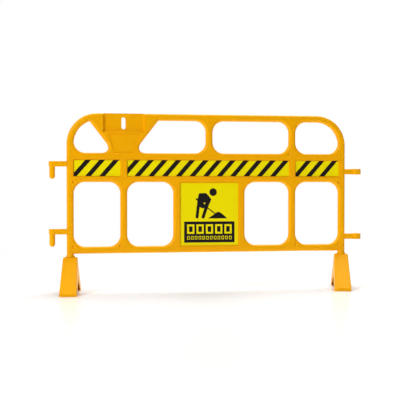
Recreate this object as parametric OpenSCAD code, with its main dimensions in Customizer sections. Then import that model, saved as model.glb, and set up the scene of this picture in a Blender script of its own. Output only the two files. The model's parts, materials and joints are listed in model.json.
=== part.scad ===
// Road-works barrier panel: a hollow moulded panel on two turning feet, with hooks on one
// edge and eyes on the other, so that panels link into a row. Millimetres, +Z up, front at -Y.
// The origin is on the ground, midway between the posts.

/* [Panel] */
// Width over the two posts
panel_w = 1500; // [1250:10:2000]
// Underside of the bottom rail to the top of the top rail
panel_h = 728; // [600:4:900]
// Thickness, front to rear
panel_t = 38; // [32:1:50]
// Width of the posts, mullions, top rail and bottom rail
bar = 36; // [30:1:45]
// Rail between the top windows and the strips
upper_rail_h = 37; // [28:1:50]
// Rail between the strips and the lower windows
lower_rail_h = 31; // [28:1:50]
// Upright beside the sign bay
sign_upright_w = 33; // [28:1:45]
// Wall of the hollow moulding
wall = 4; // [3:0.5:5]
// Outer radius of the two top corners
corner_r = 160; // [90:5:200]

/* [Windows] */
// Height of the top row of windows
top_window_h = 169; // [150:1:220]
// Radius of the window corners
window_r = 60; // [20:2:80]
// Distance of each mullion from the middle of the panel
mullion_x = 454; // [400:2:560]

/* [Lamp bracket] */
// Width of the V-shaped plate at the top of the panel
bracket_top_w = 420; // [380:5:440]
// Width of the V-shaped plate at the bottom of the top windows
bracket_low_w = 102; // [80:2:140]
// Radius of the window corners beside the plate's tip
bracket_tip_r = 33; // [20:1:40]
// Small radius where the plate meets the top rail
bracket_root_r = 8; // [4:1:12]
// Width of the lamp pocket
pocket_w = 220; // [180:5:240]
// Height of the lamp pocket, which is open at the top
pocket_h = 98; // [80:2:110]
// Depth of the lamp pocket
pocket_d = 14; // [8:1:16]
// Width of the lamp's bolt slot
slot_w = 24; // [12:1:30]
// Length of the lamp's bolt slot
slot_h = 63; // [40:1:66]
// Top of the panel to the top of the slot
slot_drop = 19; // [15:1:26]
// Depth of the shallow panel sunk into the plate below the pocket
plate_sink = 3.5; // [1:0.5:4]

/* [Sheeting] */
// Height of the reflective strips
strip_h = 84; // [60:2:120]
// Depth of the recesses that the sheets lie in
recess_d = 8; // [3:0.5:10]
// Space between a sheet and the sides of its recess
sheet_gap = 3; // [2:0.5:6]
// Thickness of the reflective sheets
sheet_t = 0.6; // [0.4:0.1:1.5]
// Thickness of the cut film on the sheets
film_t = 0.25; // [0.1:0.05:0.4]
// Distance from one black band to the next
band_pitch = 73; // [50:0.2:110]
// Width of a black band along the strip
band_w = 30; // [15:1:45]
// How far a band leans to the right from bottom to top
band_lean = 74; // [40:0.5:100]

/* [Sign] */
// Width of the sign sheet
sign_w = 312; // [240:2:340]
// Height of the black legend block
legend_h = 111; // [80:1:130]
// Margin beside and below the legend block
legend_margin = [20, 16]; // [10:1:30]

/* [Hooks and eyes] */
// Top of the panel to the top of the upper hook
upper_link_drop = 249; // [245:1:262]
// Top of the panel to the top of the lower hook
lower_link_drop = 599; // [540:1:600]
// Post face to the far end of a hook or an eye
link_reach = 92; // [80:1:120]
// Height of a hook's arm
arm_h = 28; // [22:1:32]
// Width of a hook's arm, front to rear
arm_w = 36; // [30:1:38]
// Diameter of a hook's pin
pin_d = 29.5; // [20:0.5:30]
// Arm's underside to the end of the pin
pin_l = 64; // [50:1:80]
// Outer diameter of an eye
eye_d = 51; // [44:1:56]
// Hole of an eye
eye_bore_d = 32; // [24:0.5:34]
// Height of an eye
eye_h = 30.5; // [20:0.5:34]
// Height of the arm that carries an eye
eye_arm_h = 29; // [18:1:30]
// Width of the arm that carries an eye, front to rear
eye_arm_w = 30; // [24:1:38]
// Top of a hook to the top of the eye at the other end
eye_drop = 36; // [32:1:50]
// Height of the tangs that plug into the posts
tang_h = 20; // [14:1:22]
// Width of the tangs, front to rear
tang_w = 22; // [14:1:24]

/* [Feet] */
// Height of a foot
foot_h = 186; // [140:2:240]
// Width of a foot across its top
foot_top_w = 73; // [60:1:90]
// Width of a foot across its bottom
foot_low_w = 88; // [70:1:120]
// Depth of a foot at its top
foot_top_d = 52; // [50:1:80]
// Depth of a foot at its bottom
foot_low_d = 408; // [300:4:520]
// Height of the upright toe at each end of a foot
toe_h = 16; // [8:1:30]
// Wall of a foot
foot_wall = 4; // [3:0.5:6]
// Height of the arch between a foot's legs
arch_h = 80; // [60:2:120]
// Radius at the top of the arch
arch_r = 16; // [8:1:24]
// Length of a leg along the ground
leg_l = 56; // [30:1:80]
// Turn of the left foot about its post, 0 is square to the panel
left_foot_turn = -8; // [-90:1:90]
// Turn of the right foot about its post, 0 is square to the panel
right_foot_turn = -15; // [-90:1:90]

/* [Swivel] */
// Diameter of the spigot that a foot turns on
spigot_d = 30; // [24:1:34]
// Depth of the hub below the foot's top plate
hub_h = 14; // [10:1:20]
// Diameter of the washer under the hub
washer_d = 42; // [36:1:50]
// Thickness of the washer
washer_t = 2.5; // [1.5:0.5:4]
// Diameter of the foot bolt
bolt_d = 8; // [6:1:10]
// Length of the foot bolt under its head
bolt_l = 25; // [20:1:34]
// Outer diameter of the threaded insert
insert_d = 12; // [11:1:16]
// Height of the plug inside the post
plug_h = 45; // [36:1:70]

/* [Fits] */
// Radial running clearance of the spigot in the hub, and of turned parts in their seats
running_gap = 0.05; // [0.02:0.01:0.1]
// End clearance above and below the hub
end_gap = 0.3; // [0.2:0.1:0.6]
// Clearance of a tang in its socket
socket_gap = 0.25; // [0.1:0.05:0.4]

/* [Hidden] */
$fn = 96;
cut = 1;                          // how far a cut runs past the face it opens
tuck = 0.004;                     // how far straight stretches lie inside the round corners they join

plastic = "#F0A500";
sheet_yellow = "#E4D40A";
film_black = "#1E1A1C";
nylon = "#2B2B2B";
steel = "#B9BCC0";
brass = "#B8964A";

// heights above the ground
post_foot_z = foot_h + end_gap;
rail_z = foot_h + 17;
top_z = rail_z + panel_h;
top_window_z = top_z - bar - top_window_h;
strip_z = top_window_z - upper_rail_h - strip_h;
low_window_z = rail_z + bar;
low_window_top = strip_z - lower_rail_h;
sign_z = low_window_z;
sign_h = low_window_top - sheet_gap - sign_z;
legend_z = sign_z + legend_margin[1];

// distances from the middle of the panel
half_w = panel_w / 2;
post_x = half_w - bar / 2;
post_inner = half_w - bar;
mullion_inner = mullion_x - bar / 2;
mullion_outer = mullion_x + bar / 2;
sign_bay_w = sign_w + 2 * sheet_gap;
sign_window_x = sign_bay_w / 2 + sign_upright_w;
side_strip_w = post_inner - mullion_outer;
side_strip_x = (post_inner + mullion_outer) / 2;
centre_strip_w = 2 * mullion_inner;

// front to rear
face_y = panel_t / 2;
floor_y = face_y - recess_d;

// lamp bracket, about the left mullion
bracket_x = -mullion_x;
bracket_slope = (bracket_top_w - bracket_low_w) / 2 / (bar + top_window_h);
bracket_stretch = sqrt(1 + bracket_slope * bracket_slope);
pocket_z = top_z - pocket_h;
plate_rim = 8;
plate_top_w = 164;
plate_low_w = 106;

// hooks and eyes
pin_r = pin_d / 2;
pin_x = half_w + link_reach - arm_w / 2;
eye_x = half_w + link_reach - eye_d / 2;
tang_l = bar - 2 * wall - socket_gap;
screw_x = half_w - bar / 2;
screw_d = 4;
screw_hole_d = 4.6;
screw_l = panel_t / 2 + 4;
screw_head_d = 9;
screw_head_h = 3;
hook_tops = [for (drop = [upper_link_drop, lower_link_drop]) top_z - drop];
eye_tops = [for (z = hook_tops) z - eye_drop];
arm_mids = [for (z = hook_tops) z - arm_h / 2];
eye_mids = [for (z = eye_tops) z - eye_h / 2];

// feet and swivels
collar_r = 25;
collar_h = 20;
hub_r = 23;
hub_z = foot_h - hub_h;
spigot_z = hub_z - end_gap;
plug_r = min(bar, panel_t) / 2 - wall - 2 * running_gap;
insert_l = bolt_l;
bolt_head_z = spigot_z - washer_t;
bolt_head_h = 5.3;
bolt_head_d = 15;
foot_side = [[-foot_low_d / 2, 0], [foot_low_d / 2, 0], [foot_low_d / 2, toe_h],
    [foot_top_d / 2, foot_h], [-foot_top_d / 2, foot_h], [-foot_low_d / 2, toe_h]];
foot_front = [[-foot_low_w / 2, 0], [foot_low_w / 2, 0], [foot_low_w / 2, toe_h],
    [foot_top_w / 2, foot_h], [-foot_top_w / 2, foot_h], [-foot_low_w / 2, toe_h]];

// dimples where front and rear walls are pressed together, at window corners
dimple_r = 9;
dimple_d = 3;
dimple_ball_r = (dimple_r * dimple_r + dimple_d * dimple_d) / 2 / dimple_d;
dimples_at = [[-post_inner, low_window_top], [-post_inner, low_window_z], [-mullion_outer, low_window_z],
    [mullion_inner, top_window_z], [post_inner, low_window_top], [mullion_outer, low_window_z],
    [post_inner, low_window_z]];

// ---- outlines ----

// Straight stretches between neighbouring corner circles [x, z, r], listed counter-clockwise
function tangent_points(corners) = [
    for (i = [0 : len(corners) - 1])
        let (a = corners[i], b = corners[(i + 1) % len(corners)],
             between = [b[0] - a[0], b[1] - a[1]],
             along = between / norm(between),
             rise = (a[2] - b[2]) / norm(between),
             level = sqrt(1 - rise * rise),
             out = [along[0] * rise + along[1] * level, along[1] * rise - along[0] * level])
        each [[a[0], a[1]] + out * a[2], [b[0], b[1]] + out * b[2]]
];

// Convex outline whose corners are the given circles, grown or shrunk by a wall
module rounded(corners, grow = 0) {
    polygon(tangent_points([for (c = corners) [c[0], c[1], c[2] + grow - tuck]]));
    for (c = corners) translate([c[0], c[1]]) circle(r = c[2] + grow);
}

// Corner circles of a box from x0, z0 to x1, z1
function box_corners(x0, z0, x1, z1, r) =
    [[x0 + r, z0 + r, r], [x1 - r, z0 + r, r], [x1 - r, z1 - r, r], [x0 + r, z1 - r, r]];

function inward(a, b) = [a[1] - b[1], b[0] - a[0]] / norm(b - a);

// Convex counter-clockwise outline with every edge moved inwards by d
function inset(points, d) = [
    for (i = [0 : len(points) - 1])
        let (n = len(points),
             before = inward(points[(i + n - 1) % n], points[i]),
             after = inward(points[i], points[(i + 1) % n]))
        points[i] + (before + after) * d / (1 + before * after)
];

// Outline in X and Z made solid between two depths
module slab(y0, y1) translate([0, y1, 0]) rotate([90, 0, 0]) linear_extrude(height = y1 - y0) children();

// ---- panel ----

module panel_outline(grow = 0) {
    low_r = wall + 2;
    rounded([[-half_w + low_r, rail_z + low_r, low_r], [half_w - low_r, rail_z + low_r, low_r],
        [half_w - corner_r, top_z - corner_r, corner_r],
        [-half_w + corner_r, top_z - corner_r, corner_r]], grow);
}

// Half-width of the V plate at a height
function bracket_half(z) = bracket_top_w / 2 - bracket_slope * (top_z - z);

// Corner circle between the plate's slanted side and a level edge; side is -1 or +1
function bracket_corner(side, z, r) =
    [bracket_x + side * (bracket_half(z) + r * bracket_stretch), z, r];

// Region inside the posts and the top rail, with the inner round of the top corners
module inside_posts(grow) {
    r = corner_r - bar;
    rounded([for (at = [[-1, -2], [1, -2], [1, 0], [-1, 0]])
        [at[0] * (half_w - corner_r), top_z - corner_r + at[1] * top_window_h, r]], grow);
}

module window_beside_post(grow) intersection() {
    rounded([[-post_inner + window_r, top_window_z + window_r, window_r],
        bracket_corner(-1, top_window_z + bracket_tip_r, bracket_tip_r),
        bracket_corner(-1, top_z - bar - bracket_root_r, bracket_root_r),
        [-post_inner + bracket_root_r, top_z - bar - bracket_root_r, bracket_root_r]], grow);
    inside_posts(grow);
}

module window_beside_bracket(grow) rounded([
    bracket_corner(1, top_window_z + bracket_tip_r, bracket_tip_r),
    [-bar / 2 - window_r, top_window_z + window_r, window_r],
    [-bar / 2 - window_r, top_z - bar - window_r, window_r],
    bracket_corner(1, top_z - bar - bracket_root_r, bracket_root_r)], grow);

module windows(grow = 0) {
    top_edge = top_z - bar;
    window_beside_post(grow);
    window_beside_bracket(grow);
    rounded(box_corners(bar / 2, top_window_z, mullion_inner, top_edge, window_r), grow);
    intersection() {
        rounded([[mullion_outer + window_r, top_window_z + window_r, window_r],
            [post_inner - window_r, top_window_z + window_r, window_r],
            [post_inner - bracket_root_r, top_edge - bracket_root_r, bracket_root_r],
            [mullion_outer + window_r, top_edge - window_r, window_r]], grow);
        inside_posts(grow);
    }
    for (side = [-1, 1], span = [[sign_window_x, mullion_inner], [mullion_outer, post_inner]]) {
        near = min(side * span[0], side * span[1]);
        far = max(side * span[0], side * span[1]);
        rounded(box_corners(near, low_window_z, far, low_window_top, window_r), grow);
    }
}

module lamp_slot(grow = 0) rounded([
    [bracket_x, top_z - slot_drop - slot_h + slot_w / 2, slot_w / 2],
    [bracket_x, top_z - slot_drop - slot_w / 2, slot_w / 2]], grow);

// Recess in the front face: x, z of its lower left corner, size and depth, grown by a wall
module recess(x, z, w, h, d, grow)
    translate([x - grow, -face_y - cut, z - grow]) cube([w + 2 * grow, d + cut + grow, h + 2 * grow]);

module sheet_recess(x, z, w, h, grow)
    recess(x - sheet_gap, z - sheet_gap, w + 2 * sheet_gap, h + 2 * sheet_gap, recess_d, grow);

module sheet_recesses(grow) {
    for (side = [-1, 1]) sheet_recess(side * side_strip_x - side_strip_w / 2, strip_z, side_strip_w, strip_h, grow);
    sheet_recess(-centre_strip_w / 2, strip_z, centre_strip_w, strip_h, grow);
    sheet_recess(-sign_w / 2, sign_z, sign_w, sign_h, grow);
}

module lamp_recesses(grow) {
    plate_top = pocket_z - plate_rim;
    recess(bracket_x - pocket_w / 2, pocket_z, pocket_w, pocket_h + cut, pocket_d, grow);
    slab(-face_y - cut, -face_y + plate_sink + grow) rounded([
        [bracket_x - plate_low_w / 2 + plate_sink, top_window_z, plate_sink],
        [bracket_x + plate_low_w / 2 - plate_sink, top_window_z, plate_sink],
        [bracket_x + plate_top_w / 2 - plate_sink, plate_top - plate_sink, plate_sink],
        [bracket_x - plate_top_w / 2 + plate_sink, plate_top - plate_sink, plate_sink]], grow);
}

module dimples(grow) for (at = dimples_at)
    translate([at[0], -face_y - dimple_ball_r + dimple_d, at[1]]) sphere(r = dimple_ball_r + grow);

// Everything sunk into the front and rear faces
module sunk_features(grow = 0) {
    sheet_recesses(grow);
    rotate([0, 0, 180]) sheet_recesses(grow);
    lamp_recesses(grow);
    dimples(grow);
}

module cavity() difference() {
    slab(-face_y + wall, face_y - wall) difference() {
        panel_outline(-wall);
        windows(wall);
        lamp_slot(wall);
    }
    sunk_features(wall);
}

module post_ends() for (side = [-1, 1]) translate([side * post_x, 0, post_foot_z]) {
    translate([-bar / 2, -face_y, 0]) cube([bar, panel_t, rail_z + bar - post_foot_z]);
    cylinder(r1 = collar_r, r2 = bar / 2, h = collar_h);
}

module post_bores() for (side = [-1, 1]) translate([side * post_x, 0, post_foot_z - cut])
    cylinder(r = plug_r + running_gap, h = rail_z + 2 * wall - post_foot_z + cut);

// Sockets in the outer sides of the posts, and screw holes in their rear walls
module link_sockets() for (side = [-1, 1], z = side < 0 ? arm_mids : eye_mids) {
    reach = wall + 2 * cut;
    translate([side * (half_w - reach / 2 + cut), 0, z])
        cube([reach, tang_w + 2 * socket_gap, tang_h + 2 * socket_gap], center = true);
    translate([side * screw_x, face_y - wall - cut, z])
        rotate([-90, 0, 0]) cylinder(d = screw_hole_d, h = wall + 2 * cut);
}

module panel() color(plastic) difference() {
    union() {
        slab(-face_y, face_y) difference() {
            panel_outline();
            windows();
            lamp_slot();
        }
        post_ends();
    }
    sunk_features();
    cavity();
    post_bores();
    link_sockets();
}

// ---- feet and swivels ----

// Places a piece of the swivel at the left (-1) or right (+1) post
module at_post(side) translate([side * post_x, 0, 0]) children();

module foot_block(side_outline, front_outline) intersection() {
    rotate([90, 0, 90]) linear_extrude(height = foot_low_w + 2, center = true) polygon(side_outline);
    rotate([90, 0, 0]) linear_extrude(height = foot_low_d + 2, center = true) polygon(front_outline);
}

// Outline with its ground edge lowered, so that insetting it leaves the bottom open
function open_below(points) = [for (p = points) p[1] == 0 ? [p[0], -2 * foot_wall] : p];

module foot() difference() {
    union() {
        difference() {
            foot_block(foot_side, foot_front);
            foot_block(inset(open_below(foot_side), foot_wall), inset(open_below(foot_front), foot_wall));
        }
        translate([0, 0, hub_z]) cylinder(r = hub_r, h = hub_h - foot_wall / 2);
    }
    arch_half = foot_low_d / 2 - leg_l - 1;
    rotate([90, 0, 90]) linear_extrude(height = foot_low_w + 2, center = true)
        rounded([[-arch_half, 0, 1], [arch_half, 0, 1], [0, arch_h - arch_r, arch_r]]);
    translate([0, 0, hub_z - cut]) cylinder(d = spigot_d + 2 * running_gap, h = hub_h + 2 * cut);
}

module left_foot() color(plastic) at_post(-1) rotate([0, 0, left_foot_turn]) foot();
module right_foot() color(plastic) at_post(1) rotate([0, 0, right_foot_turn]) foot();

// Plug in the open end of a post; its spigot passes through the foot's hub
module post_plug() difference() {
    union() {
        translate([0, 0, spigot_z]) cylinder(d = spigot_d, h = post_foot_z - spigot_z);
        translate([0, 0, post_foot_z]) cylinder(r = plug_r, h = plug_h);
    }
    translate([0, 0, spigot_z - cut]) cylinder(d = insert_d + 2 * running_gap, h = insert_l + cut);
}

module threaded_insert() translate([0, 0, spigot_z]) difference() {
    cylinder(d = insert_d, h = insert_l);
    translate([0, 0, -cut]) cylinder(d = bolt_d + 2 * running_gap, h = insert_l + 2 * cut);
}

module foot_washer() translate([0, 0, bolt_head_z]) difference() {
    cylinder(d = washer_d, h = washer_t);
    translate([0, 0, -cut]) cylinder(d = bolt_d + 4 * running_gap, h = washer_t + 2 * cut);
}

module foot_bolt() translate([0, 0, bolt_head_z]) {
    cylinder(d = bolt_d, h = bolt_l);
    translate([0, 0, -bolt_head_h]) cylinder(d = bolt_head_d, h = bolt_head_h, $fn = 6);
}

module left_post_plug() color(nylon) at_post(-1) post_plug();
module right_post_plug() color(nylon) at_post(1) post_plug();
module left_threaded_insert() color(brass) at_post(-1) threaded_insert();
module right_threaded_insert() color(brass) at_post(1) threaded_insert();
module left_foot_washer() color(steel) at_post(-1) foot_washer();
module right_foot_washer() color(steel) at_post(1) foot_washer();
module left_foot_bolt() color(steel) at_post(-1) foot_bolt();
module right_foot_bolt() color(steel) at_post(1) foot_bolt();

// ---- hooks and eyes ----

// Tang from a post face inwards, with its screw's pilot hole; side is -1 or +1
module tang(side, z) difference() {
    translate([side * (half_w - tang_l / 2), 0, z]) cube([tang_l, tang_w, tang_h], center = true);
    pilot(side, z);
}

module pilot(side, z) translate([side * screw_x, face_y - screw_l - running_gap, z])
    rotate([-90, 0, 0]) cylinder(d = screw_d + 2 * running_gap, h = screw_l);

// Upright round pin with a domed lower end, its top at z = 0
module hook_pin() translate([0, 0, pin_r - pin_l]) rotate_extrude() {
    square([pin_r, pin_l - pin_r]);
    intersection() {
        translate([0, -pin_r]) square(pin_r);
        circle(r = pin_r);
    }
}

module hook(top) {
    color(plastic) {
        translate([0, 0, top - arm_h]) linear_extrude(height = arm_h) {
            translate([-pin_x, 0]) circle(d = arm_w);
            translate([-pin_x, -arm_w / 2]) square([pin_x - half_w, arm_w]);
        }
        translate([-pin_x, 0, top - arm_h]) hook_pin();
        tang(-1, top - arm_h / 2);
    }
}

module eye(top) color(plastic) difference() {
    union() {
        translate([eye_x, 0, top - eye_h]) cylinder(d = eye_d, h = eye_h);
        translate([half_w, -eye_arm_w / 2, top - (eye_h + eye_arm_h) / 2])
            cube([eye_x - half_w, eye_arm_w, eye_arm_h]);
        tang(1, top - eye_h / 2);
    }
    translate([eye_x, 0, top - eye_h - cut]) cylinder(d = eye_bore_d, h = eye_h + 2 * cut);
}

// Pan-head screw through the rear wall of a post into a tang
module link_screw(side, z) translate([side * screw_x, face_y, z]) rotate([90, 0, 0]) {
    cylinder(d = screw_d, h = screw_l - 1);
    translate([0, 0, -screw_head_h]) cylinder(d1 = 0.7 * screw_head_d, d2 = screw_head_d, h = screw_head_h);
}

module upper_hook() hook(hook_tops[0]);
module lower_hook() hook(hook_tops[1]);
module upper_eye() eye(eye_tops[0]);
module lower_eye() eye(eye_tops[1]);
module hook_screws() color(steel) for (z = arm_mids) link_screw(-1, z);
module eye_screws() color(steel) for (z = eye_mids) link_screw(1, z);

// ---- sheets ----

// Sheet or film with its back at a height above the recess floor
module laid(height, thickness) slab(-floor_y - height - thickness, -floor_y - height) children();

module strip(x, w) color(sheet_yellow)
    laid(0, sheet_t) translate([x - w / 2, strip_z]) square([w, strip_h]);

// Slanted bands on a strip; first is the top left corner of the first band
module bands(x, w, first) {
    last = floor((w - band_w - first) / band_pitch);
    color(film_black) laid(sheet_t, film_t) translate([x - w / 2, strip_z]) intersection() {
        square([w, strip_h]);
        for (i = [0 : last]) translate([first + i * band_pitch, 0]) polygon([
            [-band_lean, 0], [band_w - band_lean, 0], [band_w, strip_h], [0, strip_h]]);
    }
}

side_first = 59;
centre_first = centre_strip_w - 2 - band_w - band_pitch * floor((centre_strip_w - 2 - band_w) / band_pitch);

module sign_sheet() color(sheet_yellow)
    laid(0, sheet_t) translate([-sign_w / 2, sign_z]) square([sign_w, sign_h]);

// Straight limb with round ends
module limb(a, b, w) rounded([[a[0], a[1], w / 2], [b[0], b[1], w / 2]]);

// Person digging, standing on y = 0 with x = 0 between the person and the heap
module digging_figure() {
    translate([20, 139]) circle(r = 20);
    difference() {
        polygon([[-57, 130], [-52, 133], [-19, 134], [-5, 121], [10, 100], [-6, 64], [-36, 52], [-66, 68], [-65, 100]]);
        translate([-27, 80]) circle(r = 4.5);
    }
    limb([-60, 98], [-69, 102], 9);
    limb([-59, 72], [-67, 8], 16);
    limb([-13, 70], [-34, 8], 17);
    limb([-20, 64], [32, 24], 6);
    polygon([[-8, 0], [26, 22], [40, 33], [54, 34], [72, 22], [97, 0]]);
}

module sign_symbol() color(film_black) laid(sheet_t, film_t) {
    legend_w = sign_w - 2 * legend_margin[0];
    translate([-legend_w / 2, legend_z]) square([legend_w, legend_h]);
    translate([0, legend_z + legend_h + 16]) digging_figure();
}

// Row of plain outlined boxes that stands for a line of the legend
module legend_row(z, count, box, line) {
    row_w = 0.77 * sign_w;
    for (i = [0 : count - 1]) translate([-row_w / 2 + i * (row_w - box[0]) / (count - 1), legend_z + z])
        difference() {
            square(box);
            translate([line, line]) square([box[0] - 2 * line, box[1] - 2 * line]);
        }
}

module sign_legend() color(sheet_yellow) laid(sheet_t + film_t, film_t) {
    legend_row(46, 5, [39, 50], 10);
    legend_row(16, 12, [14, 18], 3);
}

module front_strip_left() strip(-side_strip_x, side_strip_w);
module front_strip_centre() strip(0, centre_strip_w);
module front_strip_right() strip(side_strip_x, side_strip_w);
module front_bands_left() bands(-side_strip_x, side_strip_w, side_first);
module front_bands_centre() bands(0, centre_strip_w, centre_first);
module front_bands_right() bands(side_strip_x, side_strip_w, side_first);
module front_sign() sign_sheet();
module front_sign_symbol() sign_symbol();
module front_sign_legend() sign_legend();

// The rear carries the same sheets, left and right as seen from behind
module on_rear() rotate([0, 0, 180]) children();

module rear_strip_left() on_rear() front_strip_left();
module rear_strip_centre() on_rear() front_strip_centre();
module rear_strip_right() on_rear() front_strip_right();
module rear_bands_left() on_rear() front_bands_left();
module rear_bands_centre() on_rear() front_bands_centre();
module rear_bands_right() on_rear() front_bands_right();
module rear_sign() on_rear() front_sign();
module rear_sign_symbol() on_rear() front_sign_symbol();
module rear_sign_legend() on_rear() front_sign_legend();

panel();
left_post_plug();
right_post_plug();
left_threaded_insert();
right_threaded_insert();
left_foot();
right_foot();
left_foot_washer();
right_foot_washer();
left_foot_bolt();
right_foot_bolt();
upper_hook();
lower_hook();
upper_eye();
lower_eye();
hook_screws();
eye_screws();
front_strip_left();
front_strip_centre();
front_strip_right();
front_bands_left();
front_bands_centre();
front_bands_right();
front_sign();
front_sign_symbol();
front_sign_legend();
rear_strip_left();
rear_strip_centre();
rear_strip_right();
rear_bands_left();
rear_bands_centre();
rear_bands_right();
rear_sign();
rear_sign_symbol();
rear_sign_legend();
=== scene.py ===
"""Looks of a road-works barrier panel on turning feet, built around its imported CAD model."""

import json
import logging
import math
from collections.abc import Callable, Sequence
from dataclasses import dataclass, field
from enum import Enum

import bmesh
import bpy
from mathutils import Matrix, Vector


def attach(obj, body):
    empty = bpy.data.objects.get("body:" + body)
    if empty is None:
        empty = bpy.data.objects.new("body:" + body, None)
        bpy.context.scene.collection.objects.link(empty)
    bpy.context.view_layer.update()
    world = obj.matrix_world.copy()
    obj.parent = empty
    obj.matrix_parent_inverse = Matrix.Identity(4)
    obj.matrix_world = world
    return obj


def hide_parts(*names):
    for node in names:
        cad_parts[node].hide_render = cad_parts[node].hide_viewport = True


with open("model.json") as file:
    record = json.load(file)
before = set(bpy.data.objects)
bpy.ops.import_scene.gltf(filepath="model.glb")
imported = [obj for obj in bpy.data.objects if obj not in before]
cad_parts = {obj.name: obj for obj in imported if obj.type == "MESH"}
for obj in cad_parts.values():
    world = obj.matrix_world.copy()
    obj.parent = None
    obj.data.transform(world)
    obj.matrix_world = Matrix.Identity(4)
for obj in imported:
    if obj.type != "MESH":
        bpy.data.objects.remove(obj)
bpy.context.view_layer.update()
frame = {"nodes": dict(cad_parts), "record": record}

LOG = logging.getLogger("barrier")
MM = 0.001
PLASTIC_SLOT = "body_plastic"
METAL_SLOT = "zinc_steel"


class Side(Enum):
    """An end of the panel, with its sign along X."""

    LEFT = -1
    RIGHT = 1


class Face(Enum):
    """A face of the panel, with its sign along Y."""

    FRONT = -1
    REAR = 1


class Part(Enum):
    """What a selection test looks at."""

    VERT = "verts"
    EDGE = "edges"
    FACE = "faces"


# ---- modelling ----


def deselect() -> None:
    """Leaves nothing selected and no mode open."""
    if bpy.context.object and bpy.context.object.mode != "OBJECT":
        bpy.ops.object.mode_set(mode="OBJECT")
    bpy.ops.object.select_all(action="DESELECT")


def activate(piece: bpy.types.Object) -> None:
    """Makes a piece the only selected object and the active one."""
    deselect()
    piece.select_set(True)
    bpy.context.view_layer.objects.active = piece


def settle(piece: bpy.types.Object) -> bpy.types.Object:
    """Puts a piece's place, turn and size into its mesh.

    Args:
        piece: the object to settle.

    Returns:
        The same object, at the origin.
    """
    activate(piece)
    bpy.ops.object.transform_apply(location=True, rotation=True, scale=True)
    return piece


def block(name: str, low: Sequence[float], high: Sequence[float]) -> bpy.types.Object:
    """Adds a box between two corners.

    Args:
        name: the object's name.
        low: lowest corner in metres.
        high: highest corner in metres.

    Returns:
        The new object.
    """
    deselect()
    centre = [(a + b) / 2 for a, b in zip(low, high)]
    bpy.ops.mesh.primitive_cube_add(size=1, location=centre)
    piece = bpy.context.object
    piece.name = name
    piece.scale = [b - a for a, b in zip(low, high)]
    return settle(piece)


def rod(name: str, centre: Sequence[float], radius: float, height: float, sides: int = 64,
        turn: Sequence[float] = (0, 0, 0), top_radius: float | None = None) -> bpy.types.Object:
    """Adds an upright cylinder or cone, or one turned to another axis.

    Args:
        name: the object's name.
        centre: its middle in metres.
        radius: radius at its lower end.
        height: its length.
        sides: facets around it.
        turn: Euler angles in radians.
        top_radius: radius at its upper end, the same where left out.

    Returns:
        The new object.
    """
    deselect()
    top = radius if top_radius is None else top_radius
    bpy.ops.mesh.primitive_cone_add(vertices=sides, radius1=radius, radius2=top, depth=height,
                                    location=centre, rotation=turn)
    piece = bpy.context.object
    piece.name = name
    return settle(piece)


def pick(piece: bpy.types.Object, part: Part, test: Callable[..., bool]) -> int:
    """Opens edit mode with only the elements that pass a test selected.

    Args:
        piece: the object to open.
        part: whether vertices, edges or faces are tested.
        test: takes a bmesh element and says whether it is wanted.

    Returns:
        How many elements were selected.
    """
    activate(piece)
    bpy.ops.object.mode_set(mode="EDIT")
    bpy.ops.mesh.select_mode(type=part.name)
    bpy.ops.mesh.select_all(action="DESELECT")
    mesh = bmesh.from_edit_mesh(piece.data)
    wanted = [e for e in getattr(mesh, part.value) if test(e)]
    for element in wanted:
        element.select_set(True)
    mesh.select_flush_mode()
    bmesh.update_edit_mesh(piece.data)
    return len(wanted)


def along(edge: bmesh.types.BMEdge, axis: int) -> bool:
    """Whether an edge runs along X (0), Y (1) or Z (2)."""
    run = edge.verts[1].co - edge.verts[0].co
    return run.length > 0 and abs(run[axis]) > 0.999 * run.length


def middle(edge: bmesh.types.BMEdge) -> Vector:
    """The middle of an edge."""
    return (edge.verts[0].co + edge.verts[1].co) / 2


def near(point: Vector, x: float | None = None, y: float | None = None, z: float | None = None,
         reach: float = 0.4 * MM) -> bool:
    """Whether a point lies at the given coordinates, those left out being free."""
    return all(want is None or abs(point[i] - want) < reach for i, want in enumerate((x, y, z)))


def level(edge: bmesh.types.BMEdge, **place: float) -> bool:
    """Whether both ends of an edge lie at the given coordinates."""
    return all(near(vert.co, **place) for vert in edge.verts)


def round_edges(piece: bpy.types.Object, offset: float, segments: int,
                test: Callable[[bmesh.types.BMEdge], bool]) -> None:
    """Bevels the edges that pass a test into rounds.

    Args:
        piece: the object to shape.
        offset: distance from the edge to where the round starts.
        segments: facets across the round.
        test: says whether an edge is wanted.
    """
    if pick(piece, Part.EDGE, test):
        bpy.ops.mesh.bevel(offset=offset, segments=segments, affect="EDGES", clamp_overlap=False)
    bpy.ops.object.mode_set(mode="OBJECT")


def slice_off(piece: bpy.types.Object, point: Sequence[float], normal: Sequence[float]) -> None:
    """Cuts a piece by a plane and keeps the side the normal points away from, closed."""
    pick(piece, Part.FACE, lambda face: True)
    bpy.ops.mesh.bisect(plane_co=point, plane_no=normal, use_fill=True, clear_outer=True)
    bpy.ops.object.mode_set(mode="OBJECT")


def modify(piece: bpy.types.Object, kind: str, **settings: object) -> None:
    """Adds a modifier with its settings and applies it."""
    activate(piece)
    step = piece.modifiers.new(kind.title(), kind)
    for name, value in settings.items():
        setattr(step, name, value)
    bpy.ops.object.modifier_apply(modifier=step.name)


def combine(piece: bpy.types.Object, others: Sequence[bpy.types.Object], operation: str) -> None:
    """Adds or cuts other solids, which are used up.

    Args:
        piece: the solid that stays.
        others: solids that don't touch each other.
        operation: UNION, DIFFERENCE or INTERSECT.
    """
    tool = join(others)
    modify(piece, "BOOLEAN", object=tool, operation=operation, solver="EXACT")
    bpy.data.objects.remove(tool)


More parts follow.
